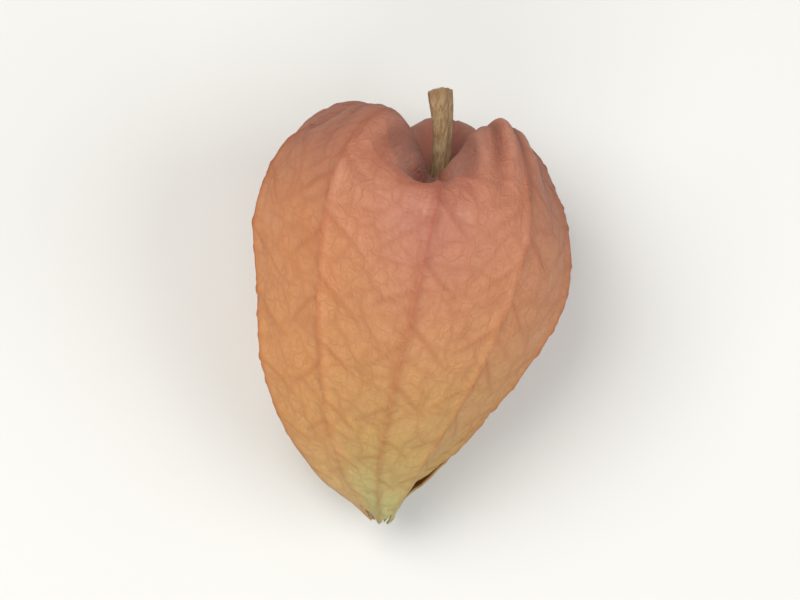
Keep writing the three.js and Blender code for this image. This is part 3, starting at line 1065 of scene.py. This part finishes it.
FLOOR_HALF = 1.5
ROOM_COLOUR = (0.95, 0.97, 1.0)
ROOM_STRENGTH = 0.36
AIM_SHARE = 0.45              # the camera aims at this share of the fruit's height
LIGHT_AIM = (0.0, 0.0, 0.015)

# Soft square lights: name, place, width, power in watts, tint.
LIGHTS = (
    ("key", (-0.22, 0.02, 0.46), 0.34, 2.3, (1.0, 0.97, 0.92)),
    ("fill", (0.36, -0.02, 0.34), 0.4, 1.5, (0.96, 0.98, 1.0)),
    ("front", (0.02, -0.42, 0.28), 0.35, 1.0, (1.0, 0.98, 0.95)),
)


def add_floor(look):
    """A plain square floor."""
    half = FLOOR_HALF
    corners = [(-half, -half, 0), (half, -half, 0), (half, half, 0), (-half, half, 0)]
    sheet = bpy.data.meshes.new("floor")
    sheet.from_pydata(corners, [], [(0, 1, 2, 3)])
    sheet.materials.append(floor_finish(look))
    floor = bpy.data.objects.new("floor", sheet)
    bpy.context.scene.collection.objects.link(floor)


def add_room():
    """Even light from all round."""
    world = bpy.data.worlds.new("room")
    world.use_nodes = True
    background = world.node_tree.nodes["Background"]
    background.inputs["Color"].default_value = (*ROOM_COLOUR, 1.0)
    background.inputs["Strength"].default_value = ROOM_STRENGTH
    bpy.context.scene.world = world


def add_light(name, place, width, power, tint):
    """A soft square light that faces the fruit."""
    lamp = bpy.data.lights.new(name, "AREA")
    lamp.size = width
    lamp.energy = power
    lamp.color = tint
    holder = bpy.data.objects.new(name, lamp)
    holder.location = place
    holder.rotation_euler = (Vector(LIGHT_AIM) - Vector(place)).to_track_quat("-Z", "Y").to_euler()
    bpy.context.scene.collection.objects.link(holder)


def add_camera(settings):
    """The camera over the fruit, turned so that the fruit leans in the view."""
    low, high = CAD_BOX
    target = Vector(((low.x + high.x) / 2, (low.y + high.y) / 2, high.z * AIM_SHARE))
    back = Vector((0.0, math.sin(settings.beyond), math.cos(settings.beyond)))
    level = Vector((0.0, math.cos(settings.beyond), -math.sin(settings.beyond)))
    across = Vector((1.0, 0.0, 0.0))
    right = across * math.cos(settings.lean) + level * math.sin(settings.lean)
    up = level * math.cos(settings.lean) - across * math.sin(settings.lean)
    camera = bpy.data.cameras.new("camera")
    camera.lens = settings.lens
    camera.clip_start = 0.01
    holder = bpy.data.objects.new("camera", camera)
    turned = Matrix((right, up, back)).transposed().to_4x4()
    holder.matrix_world = Matrix.Translation(target + back * settings.distance) @ turned
    bpy.context.scene.collection.objects.link(holder)
    bpy.context.scene.camera = holder


class MakeStage(bpy.types.Operator):
    """Adds the plain floor, the soft lights and the camera that looks down on the fruit"""

    bl_idname = "physalis.make_stage"
    bl_label = "Make stage"

    def execute(self, context):
        settings = context.scene.physalis_stage
        add_floor(settings)
        add_room()
        for light in LIGHTS:
            add_light(*light)
        add_camera(settings)
        context.scene.view_settings.view_transform = "Standard"
        return {"FINISHED"}


# ---------------------------------------------------------------- panel and registration


GROUPS = {
    "physalis_husk": HuskSettings,
    "physalis_berry": BerrySettings,
    "physalis_stalk": StalkSettings,
    "physalis_stage": StageSettings,
}
OPERATORS = (MakeStage, MakeHusk, MakeBerry, MakeStalk)


class PhysalisPanel(bpy.types.Panel):
    """Settings and builders of the fruit"""

    bl_idname = "VIEW3D_PT_physalis"
    bl_label = "Physalis"
    bl_space_type = "VIEW_3D"
    bl_region_type = "UI"
    bl_category = "Physalis"

    def draw(self, context):
        for operator in OPERATORS:
            self.layout.operator(operator.bl_idname)
        for name, group in GROUPS.items():
            box = self.layout.box()
            for setting in group.__annotations__:
                box.prop(getattr(context.scene, name), setting)


CLASSES = (*GROUPS.values(), *OPERATORS, PhysalisPanel)


def register():
    for made in CLASSES:
        bpy.utils.register_class(made)
    for name, group in GROUPS.items():
        setattr(bpy.types.Scene, name, bpy.props.PointerProperty(type=group))


def unregister():
    for name in GROUPS:
        delattr(bpy.types.Scene, name)
    for made in reversed(CLASSES):
        bpy.utils.unregister_class(made)


def main():
    register()
    bpy.ops.physalis.make_stage()
    bpy.ops.physalis.make_husk()
    bpy.ops.physalis.make_berry()
    bpy.ops.physalis.make_stalk()


if __name__ == "__main__":
    main()
